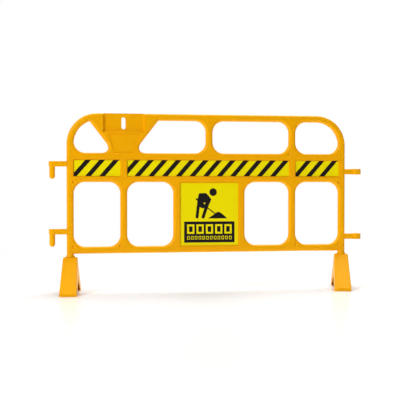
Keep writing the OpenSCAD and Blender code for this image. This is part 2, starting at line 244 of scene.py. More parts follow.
def join(pieces: Sequence[bpy.types.Object]) -> bpy.types.Object:
    """Joins several objects into the first."""
    deselect()
    for piece in pieces:
        piece.select_set(True)
    bpy.context.view_layer.objects.active = pieces[0]
    if len(pieces) > 1:
        bpy.ops.object.join()
    return pieces[0]


def tidy_mesh(piece: bpy.types.Object) -> None:
    """Merges doubles and points every face outwards."""
    pick(piece, Part.VERT, lambda vert: True)
    bpy.ops.mesh.remove_doubles(threshold=0.01 * MM)
    bpy.ops.mesh.select_all(action="SELECT")
    bpy.ops.mesh.normals_make_consistent(inside=False)
    bpy.ops.object.mode_set(mode="OBJECT")


def smooth(piece: bpy.types.Object, angle: float = 35) -> None:
    """Shades rounds smooth and keeps flats flat.

    Args:
        piece: the finished solid.
        angle: edges sharper than this, in degrees, stay crisp.
    """
    activate(piece)
    bpy.ops.object.shade_smooth_by_angle(angle=math.radians(angle))
    modify(piece, "WEIGHTED_NORMAL", mode="FACE_AREA", weight=100, keep_sharp=True)


def turned_about(piece: bpy.types.Object, centre: Sequence[float], degrees: float) -> None:
    """Turns a piece about an upright axis, counter-clockwise from above."""
    pick(piece, Part.VERT, lambda vert: True)
    angle = math.radians(degrees)
    for vert in bmesh.from_edit_mesh(piece.data).verts:
        x, y = vert.co.x - centre[0], vert.co.y - centre[1]
        vert.co.x = centre[0] + x * math.cos(angle) - y * math.sin(angle)
        vert.co.y = centre[1] + x * math.sin(angle) + y * math.cos(angle)
    bmesh.update_edit_mesh(piece.data)
    bpy.ops.object.mode_set(mode="OBJECT")


def install(piece: bpy.types.Object, body: str, slot: str, finish: bpy.types.Material,
            *nodes: str) -> None:
    """Dresses a finished piece and hands it to its body.

    Args:
        piece: the finished object.
        body: the CAD body it rides on.
        slot: the record's material slot; not used.
        finish: its material.
        nodes: CAD nodes that it stands for.
    """
    piece.data.materials.clear()
    piece.data.materials.append(finish)
    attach(piece, body)
    if nodes:
        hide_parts(*nodes)
    LOG.info("%s: %d faces, stands for %s", piece.name, len(piece.data.polygons),
             ", ".join(nodes) or "nothing")


# ---- materials ----


def srgb(code: str) -> tuple[float, float, float, float]:
    """A hex colour as the linear colour that shaders take."""
    parts = [int(code[i:i + 2], 16) / 255 for i in (1, 3, 5)]
    red, green, blue = [p / 12.92 if p <= 0.04045 else ((p + 0.055) / 1.055) ** 2.4 for p in parts]
    return red, green, blue, 1.0


def add(tree: bpy.types.NodeTree, kind: str, links: dict | None = None,
        **settings: object) -> bpy.types.Node:
    """Adds one shader node.

    Args:
        tree: the material's node tree.
        kind: the node's type name.
        links: input socket name or number to a constant or to another node's output socket.
        settings: properties of the node itself.

    Returns:
        The new node.
    """
    node = tree.nodes.new(kind)
    for name, value in settings.items():
        setattr(node, name, value)
    for name, value in (links or {}).items():
        if isinstance(value, bpy.types.NodeSocket):
            tree.links.new(value, node.inputs[name])
        else:
            node.inputs[name].default_value = value
    return node


def fresh_material(
        name: str) -> tuple[bpy.types.Material, bpy.types.NodeTree, bpy.types.NodeSocket]:
    """Starts a node material.

    Args:
        name: what the finish is.

    Returns:
        The material, its empty tree and the Object coordinate socket.
    """
    material = bpy.data.materials.new(name)
    material.use_nodes = True
    tree = material.node_tree
    tree.nodes.clear()
    return material, tree, add(tree, "ShaderNodeTexCoord").outputs["Object"]


def finish_with(tree: bpy.types.NodeTree, shader: bpy.types.Node) -> None:
    """Sends a shader to the material's surface."""
    add(tree, "ShaderNodeOutputMaterial", {"Surface": shader.outputs[0]})


@dataclass(frozen=True)
class MouldedPolyethylene:
    """Blow-moulded polyethylene, coloured through: satin, with a fine pebbled skin and slow waves.

    The eye gets a warm even colour, a broad soft highlight on each round, and a thin raised
    parting line midway between the front and the rear where the two halves of the mould met.
    """

    name: str = "polyethylene_orange_yellow_moulded"
    colour: str = "#F5AE00"
    deep: str = "#F1A700"
    roughness: float = 0.36
    roughness_spread: tuple[float, float] = (0.05, 0.06)
    pebble: float = 1.6 * MM
    pebble_depth: float = 0.12 * MM
    wave: float = 70 * MM
    wave_depth: float = 0.9 * MM
    parting_half_width: float = 0.7 * MM
    parting_height: float = 0.4 * MM

    def make(self, parting: bool) -> bpy.types.Material:
        """Builds the material.

        Args:
            parting: whether the piece has a parting line at y = 0.

        Returns:
            The material.
        """
        suffix = "_with_parting_line" if parting else ""
        material, tree, place = fresh_material(self.name + suffix)
        less, more = self.roughness_spread
        clouds = add(tree, "ShaderNodeTexNoise", {"Vector": place, "Scale": 1 / self.wave,
                                                  "Detail": 3.0, "Roughness": 0.55})
        tint = add(tree, "ShaderNodeMix", {"Factor": clouds.outputs["Fac"], 6: srgb(self.colour),
                                           7: srgb(self.deep)}, data_type="RGBA")
        skin = add(tree, "ShaderNodeTexNoise", {"Vector": place, "Scale": 1 / self.pebble,
                                                "Detail": 2.0, "Roughness": 0.5})
        gloss = add(tree, "ShaderNodeMapRange", {"Value": skin.outputs["Fac"], "From Min": 0.3,
                                                 "From Max": 0.7, "To Min": self.roughness - less,
                                                 "To Max": self.roughness + more})
        pebbled = add(tree, "ShaderNodeBump", {"Height": skin.outputs["Fac"], "Strength": 0.12,
                                               "Distance": self.pebble_depth})
        waved = add(tree, "ShaderNodeBump", {"Height": clouds.outputs["Fac"], "Strength": 0.5,
                                             "Distance": self.wave_depth,
                                             "Normal": pebbled.outputs["Normal"]})
        surface = waved
        if parting:
            split = add(tree, "ShaderNodeSeparateXYZ", {"Vector": place})
            distance = add(tree, "ShaderNodeMath", {0: split.outputs["Y"]}, operation="ABSOLUTE")
            ridge = add(tree, "ShaderNodeMapRange",
                        {"Value": distance.outputs[0], "From Min": 0.0,
                         "From Max": self.parting_half_width, "To Min": 1.0, "To Max": 0.0},
                        interpolation_type="SMOOTHSTEP")
            surface = add(tree, "ShaderNodeBump", {"Height": ridge.outputs[0], "Strength": 0.7,
                                                   "Distance": self.parting_height,
                                                   "Normal": waved.outputs["Normal"]})
        shader = add(tree, "ShaderNodeBsdfPrincipled", {
            "Base Color": tint.outputs[2], "Roughness": gloss.outputs[0], "IOR": 1.51,
            "Specular IOR Level": 0.1, "Normal": surface.outputs["Normal"]})
        finish_with(tree, shader)
        return material


@dataclass(frozen=True)
class RetroreflectiveSheet:
    """Yellow retroreflective sheet: glass beads in honeycomb cells under a clear film.

    The eye gets a bright lemon yellow with a faint net of sealed cell walls. Real cells are about
    3 mm across; they are drawn 9 mm across so that they show from a few metres.
    """

    name: str = "retroreflective_sheet_yellow"
    colour: str = "#F2E200"
    wall: str = "#EEDD00"
    cell: float = 9 * MM
    cell_wall: tuple[float, float] = (0.03, 0.09)
    bead: float = 1.2 * MM
    bead_depth: float = 0.05 * MM
    roughness: float = 0.28

    def make(self) -> bpy.types.Material:
        """Builds the material and returns it."""
        material, tree, place = fresh_material(self.name)
        split = add(tree, "ShaderNodeSeparateXYZ", {"Vector": place})
        flat = add(tree, "ShaderNodeCombineXYZ", {"X": split.outputs["X"], "Y": split.outputs["Z"]})
        cells = add(tree, "ShaderNodeTexVoronoi",
                    {"Vector": flat.outputs[0], "Scale": 1 / self.cell, "Randomness": 0.12},
                    feature="DISTANCE_TO_EDGE", voronoi_dimensions="2D")
        inner, outer = self.cell_wall
        walls = add(tree, "ShaderNodeMapRange", {"Value": cells.outputs["Distance"],
                                                 "From Min": inner, "From Max": outer,
                                                 "To Min": 1.0, "To Max": 0.0})
        tint = add(tree, "ShaderNodeMix", {"Factor": walls.outputs[0], 6: srgb(self.colour),
                                           7: srgb(self.wall)}, data_type="RGBA")
        beads = add(tree, "ShaderNodeTexNoise", {"Vector": place, "Scale": 1 / self.bead,
                                                 "Detail": 2.0})
        bumped = add(tree, "ShaderNodeBump", {"Height": beads.outputs["Fac"], "Strength": 0.06,
                                              "Distance": self.bead_depth})
        shader = add(tree, "ShaderNodeBsdfPrincipled", {
            "Base Color": tint.outputs[2], "Roughness": self.roughness, "IOR": 1.5,
            "Specular IOR Level": 0.12, "Normal": bumped.outputs["Normal"]})
        finish_with(tree, shader)
        return material


@dataclass(frozen=True)
class CutFilm:
    """Black cut vinyl film: an even black with a soft sheen and a faint orange-peel skin."""

    name: str = "vinyl_film_black_cut"
    colour: str = "#171314"
    faded: str = "#1F1B1B"
    peel: float = 4 * MM
    peel_depth: float = 0.08 * MM
    patch: float = 60 * MM
    roughness: float = 0.34

    def make(self) -> bpy.types.Material:
        """Builds the material and returns it."""
        material, tree, place = fresh_material(self.name)
        skin = add(tree, "ShaderNodeTexNoise", {"Vector": place, "Scale": 1 / self.peel,
                                                "Detail": 2.0})
        patches = add(tree, "ShaderNodeTexNoise", {"Vector": place, "Scale": 1 / self.patch,
                                                   "Detail": 2.0})
        tint = add(tree, "ShaderNodeMix", {"Factor": patches.outputs["Fac"], 6: srgb(self.colour),
                                           7: srgb(self.faded)}, data_type="RGBA")
        bumped = add(tree, "ShaderNodeBump", {"Height": skin.outputs["Fac"], "Strength": 0.08,
                                              "Distance": self.peel_depth})
        shader = add(tree, "ShaderNodeBsdfPrincipled", {
            "Base Color": tint.outputs[2], "Roughness": self.roughness, "IOR": 1.48,
            "Specular IOR Level": 0.15, "Normal": bumped.outputs["Normal"]})
        finish_with(tree, shader)
        return material


@dataclass(frozen=True)
class TurnedNylon:
    """Black turned nylon: matt, with fine rings left by the lathe around its axis."""

    name: str = "nylon_black_turned"
    colour: str = "#2B2B2B"
    ring: float = 0.8 * MM
    ring_depth: float = 0.05 * MM

    def make(self) -> bpy.types.Material:
        """Builds the material and returns it."""
        material, tree, place = fresh_material(self.name)
        bands_at_scale_one = 0.314
        rings = add(tree, "ShaderNodeTexWave",
                    {"Vector": place, "Scale": bands_at_scale_one / self.ring, "Distortion": 0.4},
                    bands_direction="Z")
        bumped = add(tree, "ShaderNodeBump", {"Height": rings.outputs["Fac"], "Strength": 0.2,
                                              "Distance": self.ring_depth})
        shader = add(tree, "ShaderNodeBsdfPrincipled", {
            "Base Color": srgb(self.colour), "Roughness": 0.5, "IOR": 1.53,
            "Normal": bumped.outputs["Normal"]})
        finish_with(tree, shader)
        return material


@dataclass(frozen=True)
class PlatedMetal:
    """Metal hardware: zinc-plated steel or plain brass, with a fine grain that breaks its gloss."""

    name: str
    colour: str
    dull: str
    roughness: float
    roughness_spread: tuple[float, float] = (0.08, 0.1)
    grain: float = 3 * MM
    grain_depth: float = 0.05 * MM

    def make(self) -> bpy.types.Material:
        """Builds the material and returns it."""
        material, tree, place = fresh_material(self.name)
        less, more = self.roughness_spread
        blotches = add(tree, "ShaderNodeTexNoise", {"Vector": place, "Scale": 1 / self.grain,
                                                    "Detail": 4.0})
        tint = add(tree, "ShaderNodeMix", {"Factor": blotches.outputs["Fac"], 6: srgb(self.colour),
                                           7: srgb(self.dull)}, data_type="RGBA")
        gloss = add(tree, "ShaderNodeMapRange", {"Value": blotches.outputs["Fac"],
                                                 "To Min": self.roughness - less,
                                                 "To Max": self.roughness + more})
        bumped = add(tree, "ShaderNodeBump", {"Height": blotches.outputs["Fac"], "Strength": 0.1,
                                              "Distance": self.grain_depth})
        shader = add(tree, "ShaderNodeBsdfPrincipled", {
            "Base Color": tint.outputs[2], "Metallic": 1.0, "Roughness": gloss.outputs[0],
            "Normal": bumped.outputs["Normal"]})
        finish_with(tree, shader)
        return material


@dataclass(frozen=True)
class GlossedFloor:
    """White lacquered studio table: near white, with a faint blurred mirror under the feet."""

    name: str = "studio_table_white_lacquer"
    colour: str = "#FCFCFC"
    roughness: float = 0.2
    haze: float = 0.05
    haze_width: float = 0.5

    def make(self) -> bpy.types.Material:
        """Builds the material and returns it."""
        material, tree, place = fresh_material(self.name)
        haze = add(tree, "ShaderNodeTexNoise", {"Vector": place, "Scale": 1 / self.haze_width,
                                                "Detail": 2.0})
        gloss = add(tree, "ShaderNodeMapRange", {"Value": haze.outputs["Fac"],
                                                 "To Min": self.roughness,
                                                 "To Max": self.roughness + self.haze})
        shader = add(tree, "ShaderNodeBsdfPrincipled", {
            "Base Color": srgb(self.colour), "Roughness": gloss.outputs[0], "IOR": 1.45})
        finish_with(tree, shader)
        return material


@dataclass
class Finishes:
    """Every material of the object, made once."""

    plastic: bpy.types.Material = field(default_factory=lambda: MouldedPolyethylene().make(False))
    plastic_parted: bpy.types.Material = field(
        default_factory=lambda: MouldedPolyethylene().make(True))
    sheet: bpy.types.Material = field(default_factory=lambda: RetroreflectiveSheet().make())
    film: bpy.types.Material = field(default_factory=lambda: CutFilm().make())
    nylon: bpy.types.Material = field(default_factory=lambda: TurnedNylon().make())
    zinc: bpy.types.Material = field(default_factory=lambda: PlatedMetal(
        "steel_zinc_plated", "#C9CCD0", "#A9ADB2", 0.36).make())
    brass: bpy.types.Material = field(default_factory=lambda: PlatedMetal(
        "brass_turned", "#C9A45A", "#B48E48", 0.34).make())


# ---- panel ----


@dataclass
class PanelMoulding:
    """The one-piece moulded panel: posts, rails, mullions, lamp bracket and sheet recesses."""

    half_width: float = 750 * MM
    face: float = 19 * MM
    bar: float = 36 * MM
    rail_z: float = 203 * MM
    top_z: float = 931 * MM
    corner: float = 160 * MM
    post_foot_z: float = 186.3 * MM
    window_round: float = 60 * MM
    tip_round: float = 33 * MM
    root_round: float = 8 * MM
    rail_end_round: float = 6 * MM
    top_window_z: float = 726 * MM
    low_windows: tuple[float, float] = (239 * MM, 574 * MM)
    mullion: tuple[float, float] = (436 * MM, 472 * MM)
    sign_window_x: float = 192 * MM
    bracket_x: float = -454 * MM
    bracket_half: tuple[float, float] = (51 * MM, 182.08 * MM)
    pocket: tuple[float, float, float] = (110 * MM, 833 * MM, 14 * MM)
    pocket_draft: float = 6 * MM
    pocket_corner: float = 6 * MM
    plate_half: tuple[float, float] = (53 * MM, 82 * MM)
    plate_top: float = 825 * MM
    plate_sink: float = 3.5 * MM
    plate_corner: float = 3 * MM
    slot: tuple[float, float, float] = (12 * MM, 849 * MM, 912 * MM)
    recess_depth: float = 8 * MM
    recess_corner: float = 5 * MM
    recess_floor_round: float = 1.6 * MM
    strip_z: tuple[float, float] = (602 * MM, 692 * MM)
    centre_recess: float = 439 * MM
    side_recess: tuple[float, float] = (469 * MM, 717 * MM)
    sign_recess: tuple[float, float, float] = (159 * MM, 236 * MM, 574 * MM)
    rim: float = 15 * MM
    recess_rim: float = 2.2 * MM
    collar: tuple[float, float] = (25 * MM, 20 * MM)
    collar_top: float = 16.5 * MM
    collar_waist: tuple[float, float] = (0.42, 0.93)
    dimple: tuple[float, float] = (9 * MM, 4.5 * MM)
    facet: float = 3.2 * MM

    def cutter(self, x0: float, x1: float, z0: float, z1: float,
               rounds: dict[str, float]) -> bpy.types.Object:
        """Makes a solid that cuts through the panel.

        Args:
            x0: left side.
            x1: right side.
            z0: lower side.
            z1: upper side.
            rounds: radius at each of the corners bl, br, tl and tr that is rounded.

        Returns:
            The cutter.
        """
        piece = block("window_cutter", (x0, -2 * self.face, z0), (x1, 2 * self.face, z1))
        for corner, radius in rounds.items():
            x, z = x0 if "l" in corner[1] else x1, z0 if corner[0] == "b" else z1
            round_edges(piece, radius, max(6, round(radius / self.facet)),
                        lambda e, x=x, z=z: along(e, 1) and near(middle(e), x=x, z=z))
        return piece

    def inside_posts(self) -> bpy.types.Object:
        """Makes the region between the posts and under the top rail, with its two large rounds."""
        inner, top = self.half_width - self.bar, self.top_z - self.bar
        return self.cutter(-inner, inner, self.rail_z, top,
                           dict.fromkeys(("tl", "tr"), self.corner - self.bar))

    def bracket_window(self, side: Side) -> bpy.types.Object:
        """Makes the cutter of the top window at one side of the V-shaped plate."""
        top, spare = self.top_z - self.bar, 40 * MM
        sign = side.value
        low_x = self.bracket_x + sign * self.bracket_half[0]
        high_x = self.bracket_x + sign * self.bracket_half[1]
        if side is Side.LEFT:
            post = -self.half_width + self.bar
            piece = self.cutter(post, low_x + spare, self.top_window_z, top,
                                {"bl": self.window_round})
            combine(piece, [self.inside_posts()], "INTERSECT")
        else:
            piece = self.cutter(low_x - spare, -self.bar / 2, self.top_window_z, top,
                                {"tr": self.window_round, "br": self.window_round})
        slope = Vector((high_x - low_x, 0, top - self.top_window_z))
        outward = Vector((-sign * slope.z, 0, sign * slope.x))
        slice_off(piece, (low_x, 0, self.top_window_z), outward)
        open_angle = math.atan2(slope.z, sign * slope.x)
        tip = self.tip_round / math.tan(open_angle / 2)
        round_edges(piece, tip, 10,
                    lambda e: along(e, 1) and near(middle(e), x=low_x, z=self.top_window_z))
        if side is Side.RIGHT:
            root = self.root_round * math.tan(open_angle / 2)
            round_edges(piece, root, 6, lambda e: along(e, 1) and near(middle(e), x=high_x, z=top))
        return piece

    def through_cutters(self) -> list[bpy.types.Object]:
        """Makes the cutters of the windows and the gap under the bottom rail."""
        r, top = self.window_round, self.top_z - self.bar
        all_round = {"bl": r, "br": r, "tl": r, "tr": r}
        inner = self.half_width - self.bar
        near_x, far_x = self.mullion
        end_window = self.cutter(far_x, inner, self.top_window_z, top, {"bl": r, "br": r, "tl": r})
        combine(end_window, [self.inside_posts()], "INTERSECT")
        cutters = [self.bracket_window(Side.LEFT), self.bracket_window(Side.RIGHT), end_window,
                   self.cutter(self.bar / 2, near_x, self.top_window_z, top, all_round)]
        for x0, x1 in ((-inner, -far_x), (-near_x, -self.sign_window_x),
                       (self.sign_window_x, near_x), (far_x, inner)):
            cutters.append(self.cutter(x0, x1, *self.low_windows, all_round))
        below_posts = 100 * MM
        cutters.append(self.cutter(-inner, inner, below_posts, self.rail_z,
                                   dict.fromkeys(("tl", "tr"), self.rail_end_round)))
        return cutters

    def slot_cutter(self) -> bpy.types.Object:
        """Makes the cutter of the lamp's bolt slot, with round ends."""
        half, z0, z1 = self.slot
        piece = self.cutter(self.bracket_x - half, self.bracket_x + half, z0, z1,
                            dict.fromkeys(("bl", "br", "tl", "tr"), half))
        tidy_mesh(piece)
        return piece

    def recess_cutter(self, side: Face, x0: float, x1: float, z0: float, z1: float, depth: float,
                      corner: float) -> bpy.types.Object:
        """Makes a cutter for a recess with rounded corners and a round around its floor.

        Args:
            side: the face that it sinks into.
            x0: left side.
            x1: right side.
            z0: lower side.
            z1: upper side.
            depth: how deep the recess is.
            corner: radius of its corners.

        Returns:
            The cutter.
        """
        lip = 10 * MM
        floor = side.value * (self.face - depth)
        mouth = side.value * (self.face + lip)
        piece = block("recess_cutter", (x0, min(floor, mouth), z0), (x1, max(floor, mouth), z1))
        round_edges(piece, corner, 5, lambda e: along(e, 1))
        round_edges(piece, self.recess_floor_round, 3, lambda e: level(e, y=floor))
        return piece

    def recess_cutters(self, side: Face) -> list[bpy.types.Object]:
        """Makes the cutters of one face's sheet recesses."""
        z0, z1 = self.strip_z
        near_x, far_x = self.side_recess
        sign_x, sign_z0, sign_z1 = self.sign_recess
        centre = self.centre_recess
        spans = [(-far_x, -near_x, z0, z1), (-centre, centre, z0, z1), (near_x, far_x, z0, z1),
                 (-sign_x, sign_x, sign_z0, sign_z1)]
        return [self.recess_cutter(side, *span, self.recess_depth, self.recess_corner)
                for span in spans]

    def lamp_cutters(self) -> list[bpy.types.Object]:
        """Makes the cutters of the lamp pocket and of the shallow panel under it."""
        half, z0, depth = self.pocket
        x = self.bracket_x
        draft, lip, top = self.pocket_draft, 10 * MM, self.top_z + 20 * MM
        pocket = block("pocket_cutter", (x - half + draft, -self.face - lip, z0 + draft),
                       (x + half - draft, depth - self.face, top))
        flare = draft * (depth + lip) / depth
        pick(pocket, Part.VERT, lambda v: v.co.y < -self.face)
        wider, taller = 1 + flare / (half - draft), 1 + flare / (top - z0 - draft)
        bpy.ops.transform.resize(value=(wider, 1, taller), center_override=(x, 0, top))
        bpy.ops.object.mode_set(mode="OBJECT")
        round_edges(pocket, self.pocket_corner, 4,
                    lambda e: all(v.co.y > -self.face for v in e.verts))
        low, high = self.plate_half
        z_low = self.top_window_z
        plate = self.recess_cutter(Face.FRONT, x - high, x + high, z_low, self.plate_top,
                                   self.plate_sink, self.plate_corner)
        pick(plate, Part.VERT, lambda v: v.co.z < (z_low + self.plate_top) / 2)
        bpy.ops.transform.resize(value=(low / high, 1, 1), center_override=(x, 0, z_low))
        bpy.ops.object.mode_set(mode="OBJECT")
        return [pocket, plate]

    def rim_width(self, edge: bmesh.types.BMEdge) -> float:
        """How wide the round on an edge is, nothing where it isn't a rim."""
        sharp = math.radians(60)
        if len(edge.link_faces) != 2 or edge.calc_face_angle(0) < sharp or not edge.is_convex:
            return 0.0
        if not all(abs(abs(v.co.y) - self.face) < 0.01 * MM for v in edge.verts):
            return 0.0
        for face in edge.link_faces:
            if abs(face.normal.y) < 0.5:
                depths = [v.co.y for v in face.verts]
                if min(depths) < 0 < max(depths):
                    return self.rim
                reach = max(map(abs, depths)) - min(map(abs, depths))
                return min(self.recess_rim, 0.5 * reach) if reach > 0 else 0.0
        return 0.0

    def round_rims(self, piece: bpy.types.Object) -> None:
        """Rounds every rim of the faces, each by its own width, in one go."""
        pick(piece, Part.EDGE, lambda e: False)
        mesh = bmesh.from_edit_mesh(piece.data)
        layer = mesh.edges.layers.float.new("bevel_weight_edge")
        for edge in mesh.edges:
            edge[layer] = self.rim_width(edge) / self.rim
        bmesh.update_edit_mesh(piece.data)
        bpy.ops.object.mode_set(mode="OBJECT")
        modify(piece, "BEVEL", width=self.rim, segments=7, limit_method="WEIGHT",
               use_clamp_overlap=False, loop_slide=True)

    def dimple_cutters(self) -> list[bpy.types.Object]:
        """Makes the balls that press a dimple beside some window corners."""
        inner = self.half_width - self.bar
        z0, z1 = self.low_windows
        near_x, far_x = self.mullion
        radius, depth = self.dimple
        ball = (radius ** 2 + depth ** 2) / 2 / depth
        balls = []
        for x, z in ((-inner, z1), (-inner, z0), (-far_x, z0), (near_x, self.top_window_z),
                     (inner, z1), (far_x, z0), (inner, z0)):
            deselect()
            bpy.ops.mesh.primitive_uv_sphere_add(segments=40, ring_count=40, radius=ball,
                                                 location=(x, -self.face - ball + depth, z),
                                                 rotation=(math.pi / 2, 0, 0))
            balls.append(settle(bpy.context.object))
        return balls

    def post_flare(self, side: Side) -> bpy.types.Object:
        """Makes the flared collar at the foot of a post."""
        x = side.value * (self.half_width - self.bar / 2)
        radius, height = self.collar
        rise, pinch = self.collar_waist
        waist_z = self.post_foot_z + rise * height
        piece = rod("post_flare", (x, 0, self.post_foot_z + height / 2), radius, height,
                    top_radius=self.collar_top)
        pick(piece, Part.FACE, lambda face: True)
        bpy.ops.mesh.bisect(plane_co=(x, 0, waist_z), plane_no=(0, 0, 1))
        pick(piece, Part.VERT, lambda v: near(v.co, z=waist_z))
        bpy.ops.transform.resize(value=(pinch, pinch, 1), center_override=(x, 0, waist_z))
        bpy.ops.object.mode_set(mode="OBJECT")
        for z, offset, segments in ((waist_z, 4 * MM, 4), (self.post_foot_z, 1.2 * MM, 3)):
            round_edges(piece, offset, segments, lambda e, z=z: level(e, z=z))
        return piece

    def build(self) -> bpy.types.Object:
        """Models the panel and returns it."""
        in_collar = 4 * MM
        panel = block("panel_moulding",
                      (-self.half_width, -self.face, self.post_foot_z + in_collar),
                      (self.half_width, self.face, self.top_z))
        round_edges(panel, self.corner, 40, lambda e: along(e, 1) and near(middle(e), z=self.top_z))
        combine(panel, self.through_cutters(), "DIFFERENCE")
        combine(panel, self.recess_cutters(Face.FRONT) + self.recess_cutters(Face.REAR),
                "DIFFERENCE")
        tidy_mesh(panel)
        self.round_rims(panel)
        combine(panel, self.lamp_cutters() + self.dimple_cutters(), "DIFFERENCE")
        combine(panel, [self.slot_cutter()], "DIFFERENCE")
        combine(panel, [self.post_flare(Side.LEFT), self.post_flare(Side.RIGHT)], "UNION")
        tidy_mesh(panel)
        smooth(panel)
        return panel


# ---- feet ----


@dataclass
class FootMoulding:
    """One hollow A-shaped foot with an arch through it and the hub that turns on the post."""

    side: Side
    turn: float
    post_x: float = 732 * MM
    low: tuple[float, float] = (88 * MM, 408 * MM)
    top: tuple[float, float] = (73 * MM, 52 * MM)
    toe: float = 16 * MM
    height: float = 186 * MM
    wall: float = 4 * MM
    edge_round: float = 7 * MM
    cut_edge_round: float = 0.9 * MM
    arch: tuple[float, float, float] = (149 * MM, 82.55 * MM, 9.4 * MM)
    hub: tuple[float, float] = (23 * MM, 14 * MM)
    bore: float = 15.05 * MM

    def shell(self) -> bpy.types.Object:
        """Makes the shell, open at the bottom."""
        half_x, half_y = self.low[0] / 2, self.low[1] / 2
        piece = block(f"{self.side.name.lower()}_foot_moulding", (-half_x, -half_y, 0),
                      (half_x, half_y, self.toe))
        rise = (0, 0, self.height - self.toe)
        pick(piece, Part.FACE, lambda f: f.normal.z > 0.9)
        bpy.ops.mesh.extrude_region_move(TRANSFORM_OT_translate={"value": rise})
        bpy.ops.transform.resize(value=(self.top[0] / self.low[0], self.top[1] / self.low[1], 1),
                                 center_override=(0, 0, self.height))
        bpy.ops.object.mode_set(mode="OBJECT")
        round_edges(piece, self.edge_round, 5,
                    lambda e: max(v.co.z for v in e.verts) > 0 and not near(middle(e), z=self.toe))
        pick(piece, Part.FACE, lambda f: f.normal.z < -0.9)
        bpy.ops.mesh.delete(type="FACE")
        bpy.ops.object.mode_set(mode="OBJECT")
        modify(piece, "SOLIDIFY", thickness=self.wall, offset=-1, use_even_offset=True)
        return piece

    def arch_cutter(self) -> bpy.types.Object:
        """Makes the prism that cuts the arch through both side walls."""
        half, peak, tip = self.arch
        below = -20 * MM
        spread = half * (peak - below) / peak
        piece = block("arch_cutter", (-self.low[0], -spread, below), (self.low[0], spread, peak))
        pick(piece, Part.VERT, lambda v: v.co.z > 0)
        bpy.ops.transform.resize(value=(1, 0, 1), center_override=(0, 0, peak))
        bpy.ops.mesh.remove_doubles(threshold=0.1 * MM)
        bpy.ops.object.mode_set(mode="OBJECT")
        round_edges(piece, tip, 8, lambda e: along(e, 0) and near(middle(e), z=peak))
        return piece

    def build(self) -> bpy.types.Object:
        """Models the foot and returns it."""
        foot = self.shell()
        radius, depth = self.hub
        sunk, cutter_height = 1 * MM, 4 * depth
        hub = rod("hub", (0, 0, self.height - (depth + sunk) / 2 - sunk), radius, depth - sunk)
        combine(foot, [hub], "UNION")
        combine(foot, [self.arch_cutter()], "DIFFERENCE")
        combine(foot, [rod("bore_cutter", (0, 0, self.height), self.bore, cutter_height)],
                "DIFFERENCE")
        tidy_mesh(foot)
        modify(foot, "BEVEL", width=self.cut_edge_round, segments=2, limit_method="ANGLE",
               angle_limit=math.radians(50), use_clamp_overlap=True)
        turned_about(foot, (0, 0), self.turn)
        foot.location = (self.side.value * self.post_x, 0, 0)
        settle(foot)
        smooth(foot)
        return foot


# ---- hooks and eyes ----


@dataclass
class Hook:
    """An arm from the left post with a round pin hanging from its end."""

    name: str
    top: float
    post: float = -750 * MM
    inlet: float = 13 * MM
    reach: float = 92 * MM
    height: float = 28 * MM
    width: float = 36 * MM
    edge_round: float = 4 * MM
    pin: tuple[float, float] = (14.75 * MM, 64 * MM)

    def build(self) -> bpy.types.Object:
        """Models the hook and returns it."""
        half, end = self.width / 2, self.post - self.reach
        arm = block(f"{self.name}_moulding", (end, -half, self.top - self.height),
                    (self.post + self.inlet, half, self.top))
        round_edges(arm, half, 14, lambda e: along(e, 2) and near(middle(e), x=end))
        tidy_mesh(arm)
        radius, length = self.pin
        overlap = 4 * MM
        pin_low = self.top - self.height - length
        pin = rod("pin", (end + half, 0, pin_low + (length + overlap) / 2), radius,
                  length + overlap, 56)
        left_flat = 0.05 * MM
        round_edges(pin, radius - left_flat, 10, lambda e: level(e, z=pin_low))
        in_post = self.post + self.inlet - 1 * MM
        round_edges(arm, self.edge_round, 4, lambda e: len(e.link_faces) == 2
                    and e.calc_face_angle(0) > 1 and middle(e).x < in_post)
        combine(arm, [pin], "UNION")
        tidy_mesh(arm)
        smooth(arm)
        return arm


@dataclass
class Eye:
    """A flat ring on an arm from the right post, for the next panel's pin."""

    name: str
    top: float
    post: float = 750 * MM
    inlet: float = 13 * MM
    centre: float = 816.5 * MM
    ring: tuple[float, float, float] = (25.5 * MM, 16 * MM, 30.5 * MM)
    arm: tuple[float, float] = (30 * MM, 29 * MM)
    ring_round: float = 2.5 * MM
    arm_round: float = 3.5 * MM
    bore_round: float = 1.5 * MM

    def build(self) -> bpy.types.Object:
        """Models the eye and returns it."""
        outer, inner, height = self.ring
        width, arm_height = self.arm
        mid = self.top - height / 2
        ring = rod(f"{self.name}_moulding", (self.centre, 0, mid), outer, height, 72)
        round_edges(ring, self.ring_round, 4, lambda e: e.calc_face_angle(0) > 1)
        arm = block("arm", (self.post - self.inlet, -width / 2, mid - arm_height / 2),
                    (self.centre, width / 2, mid + arm_height / 2))
        round_edges(arm, self.arm_round, 4, lambda e: along(e, 0))
        combine(ring, [arm], "UNION")
        combine(ring, [rod("bore_cutter", (self.centre, 0, mid), inner, 2 * height, 72)],
                "DIFFERENCE")
        tidy_mesh(ring)
        axis = Vector((self.centre, 0))
        round_edges(ring, self.bore_round, 3, lambda e: e.calc_face_angle(0) > 1.2
                    and abs((middle(e).xy - axis).length - inner) < 0.5 * MM)
        smooth(ring)
        return ring


# ---- hardware ----


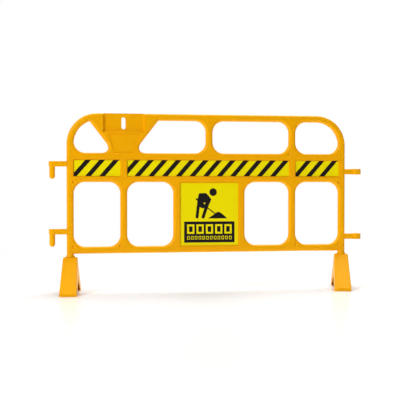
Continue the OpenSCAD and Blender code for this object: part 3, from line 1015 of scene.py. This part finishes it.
@dataclass
class LinkScrews:
    """Pan-head screws with a cross recess through the rear of a post into two tangs."""

    name: str
    x: float
    heights: tuple[float, float]
    face: float = 19 * MM
    head: tuple[float, float] = (4.5 * MM, 3 * MM)
    head_round: float = 1.9 * MM
    cross: tuple[float, float, float] = (2.5 * MM, 0.5 * MM, 1.6 * MM)
    shank: tuple[float, float] = (2 * MM, 21 * MM)

    def screw(self, z: float) -> bpy.types.Object:
        """Models one screw at a height and returns it."""
        radius, height = self.head
        back = (math.pi / 2, 0, 0)
        head = rod("head", (self.x, self.face + height / 2, z), radius, height, 40, back)
        crown = self.face + height
        round_edges(head, self.head_round, 5, lambda e: level(e, y=crown))
        arm, half, deep = self.cross
        for a, b in ((arm, half), (half, arm)):
            slot = block("slot", (self.x - a, crown - deep, z - b),
                         (self.x + a, crown + height, z + b))
            combine(head, [slot], "DIFFERENCE")
        shank_radius, length = self.shank
        into_head = 0.5 * MM
        shank = rod("shank", (self.x, self.face + into_head - length / 2, z), shank_radius, length,
                    24, back)
        combine(head, [shank], "UNION")
        return head

    def build(self) -> bpy.types.Object:
        """Models the pair of screws and returns them as one piece."""
        pair = join([self.screw(z) for z in self.heights])
        pair.name = f"{self.name}_turned"
        tidy_mesh(pair)
        smooth(pair)
        return pair


@dataclass
class FootBolt:
    """The hex bolt and washer that hold a foot on its post."""

    side: Side
    post_x: float = 732 * MM
    head_z: float = 169.2 * MM
    head: tuple[float, float] = (7.5 * MM, 5.3 * MM)
    shank: tuple[float, float] = (4 * MM, 25 * MM)
    washer: tuple[float, float, float] = (21 * MM, 4.1 * MM, 2.5 * MM)
    forged_edge: float = 0.25 * MM
    stamped_edge: float = 0.35 * MM

    def bolt(self) -> bpy.types.Object:
        """Models the bolt with its chamfered hexagon head and returns it."""
        x = self.side.value * self.post_x
        radius, height = self.head
        centre = (x, 0, self.head_z - height / 2)
        head = rod(f"{self.side.name.lower()}_foot_bolt_forged", centre, radius, height, 6)
        chamfer = rod("chamfer", centre, 0.9 * radius, height, 48, top_radius=1.9 * radius)
        combine(head, [chamfer], "INTERSECT")
        shank_radius, length = self.shank
        overlap = 1 * MM
        shank = rod("shank", (x, 0, self.head_z + (length - overlap) / 2), shank_radius,
                    length + overlap, 40)
        combine(head, [shank], "UNION")
        tidy_mesh(head)
        modify(head, "BEVEL", width=self.forged_edge, segments=2, limit_method="ANGLE",
               angle_limit=math.radians(40))
        smooth(head)
        return head

    def ring(self) -> bpy.types.Object:
        """Models the washer with its broken edges and returns it."""
        x = self.side.value * self.post_x
        outer, inner, height = self.washer
        ring = rod(f"{self.side.name.lower()}_foot_washer_stamped",
                   (x, 0, self.head_z + height / 2), outer, height, 72)
        combine(ring, [rod("bore_cutter", (x, 0, self.head_z), inner, 4 * height, 40)],
                "DIFFERENCE")
        tidy_mesh(ring)
        modify(ring, "BEVEL", width=self.stamped_edge, segments=2, limit_method="ANGLE",
               angle_limit=math.radians(50))
        smooth(ring)
        return ring


# ---- stage ----


@dataclass
class Studio:
    """White table, white surround, large soft lights and the camera."""

    floor_size: float = 7.4
    camera_place: tuple[float, float, float] = (-1.170, -5.709, 0.562)
    camera_turn: tuple[float, float, float] = (88.77, 0.0, -11.53)
    focal_length: float = 95.19
    sensor_width: float = 36
    aim: tuple[float, float, float] = (0, 0, 0.5)
    dim_side: float = 0.09
    bright_side: float = 0.46

    def surround(self) -> None:
        """Makes the surround: white to the eye and behind the object, dim in front of it."""
        world = bpy.data.worlds.new("studio_surround")
        world.use_nodes = True
        tree = world.node_tree
        tree.nodes.clear()
        place = add(tree, "ShaderNodeTexCoord").outputs["Generated"]
        split = add(tree, "ShaderNodeSeparateXYZ", {"Vector": place})
        depth = add(tree, "ShaderNodeMapRange", {"Value": split.outputs["Y"],
                                                 "From Min": -0.5, "From Max": 0.1,
                                                 "To Min": self.dim_side,
                                                 "To Max": self.bright_side})
        seen = add(tree, "ShaderNodeLightPath").outputs["Is Camera Ray"]
        strength = add(tree, "ShaderNodeMix", {"Factor": seen, 2: depth.outputs[0], 3: 1.0})
        light = add(tree, "ShaderNodeBackground", {"Color": (1, 1, 1, 1),
                                                   "Strength": strength.outputs[0]})
        add(tree, "ShaderNodeOutputWorld", {"Surface": light.outputs[0]})
        bpy.context.scene.world = world

    def floor(self) -> None:
        """Lays the table that the object stands on."""
        deselect()
        clear_of_feet = 0.2 * MM
        bpy.ops.mesh.primitive_plane_add(size=self.floor_size, location=(0, 0, -clear_of_feet))
        floor = settle(bpy.context.object)
        floor.name = "studio_table"
        floor.data.materials.append(GlossedFloor().make())

    def lamp(self, name: str, place: Sequence[float], size: float, power: float) -> None:
        """Hangs a square soft light that faces the middle of the object.

        Args:
            name: the light's name.
            place: where it hangs, in metres.
            size: its side in metres.
            power: its power in watts.
        """
        deselect()
        bpy.ops.object.light_add(type="AREA", location=place)
        lamp = bpy.context.object
        lamp.name = name
        lamp.data.size = size
        lamp.data.energy = power
        gaze = Vector(self.aim) - Vector(place)
        lamp.rotation_euler = gaze.to_track_quat("-Z", "Y").to_euler()

    def build(self) -> None:
        """Sets up the table, the surround, the lights and the camera."""
        self.floor()
        self.surround()
        self.lamp("key_light", (-5.6, -5.2, 6.0), 2.0, 530)
        self.lamp("rear_light", (1.4, 2.3, 5.2), 6.2, 515)
        deselect()
        bpy.ops.object.camera_add(location=self.camera_place,
                                  rotation=[math.radians(a) for a in self.camera_turn])
        camera = bpy.context.object
        camera.data.lens = self.focal_length
        camera.data.sensor_width = self.sensor_width
        bpy.context.scene.camera = camera
        bpy.context.scene.view_settings.view_transform = "Standard"


def dress(finishes: Finishes) -> None:
    """Gives the CAD nodes that stay their materials."""
    choices = {"reflective_yellow": finishes.sheet, "black_film": finishes.film,
               "plug_nylon": finishes.nylon, "brass": finishes.brass, METAL_SLOT: finishes.zinc}
    for entry in frame["record"]["subparts"]:
        material = choices.get(entry["material_slot"])
        if material is None:
            continue
        node = frame["nodes"][entry["node"]]
        node.data.materials.clear()
        node.data.materials.append(material)
        LOG.info("%s: dressed in %s", entry["node"], material.name)


def main() -> None:
    """Builds every piece and the studio around them."""
    logging.basicConfig(level=logging.INFO, format="%(message)s")
    finishes = Finishes()
    dress(finishes)
    install(PanelMoulding().build(), "panel", PLASTIC_SLOT, finishes.plastic_parted, "panel")
    for side, turn in ((Side.LEFT, -8), (Side.RIGHT, -15)):
        name = f"{side.name.lower()}_foot"
        install(FootMoulding(side, turn).build(), name, PLASTIC_SLOT, finishes.plastic, name)
        bolt = FootBolt(side)
        install(bolt.bolt(), "panel", METAL_SLOT, finishes.zinc, f"{name}_bolt")
        install(bolt.ring(), "panel", METAL_SLOT, finishes.zinc, f"{name}_washer")
    for link in (Hook("upper_hook", 682 * MM), Hook("lower_hook", 332 * MM),
                 Eye("upper_eye", 646 * MM), Eye("lower_eye", 296 * MM)):
        install(link.build(), "panel", PLASTIC_SLOT, finishes.plastic_parted, link.name)
    for name, x, heights in (("hook_screws", -732 * MM, (668 * MM, 318 * MM)),
                             ("eye_screws", 732 * MM, (630.75 * MM, 280.75 * MM))):
        install(LinkScrews(name, x, heights).build(), "panel", METAL_SLOT, finishes.zinc, name)
    Studio().build()


if __name__ == "__main__":
    main()
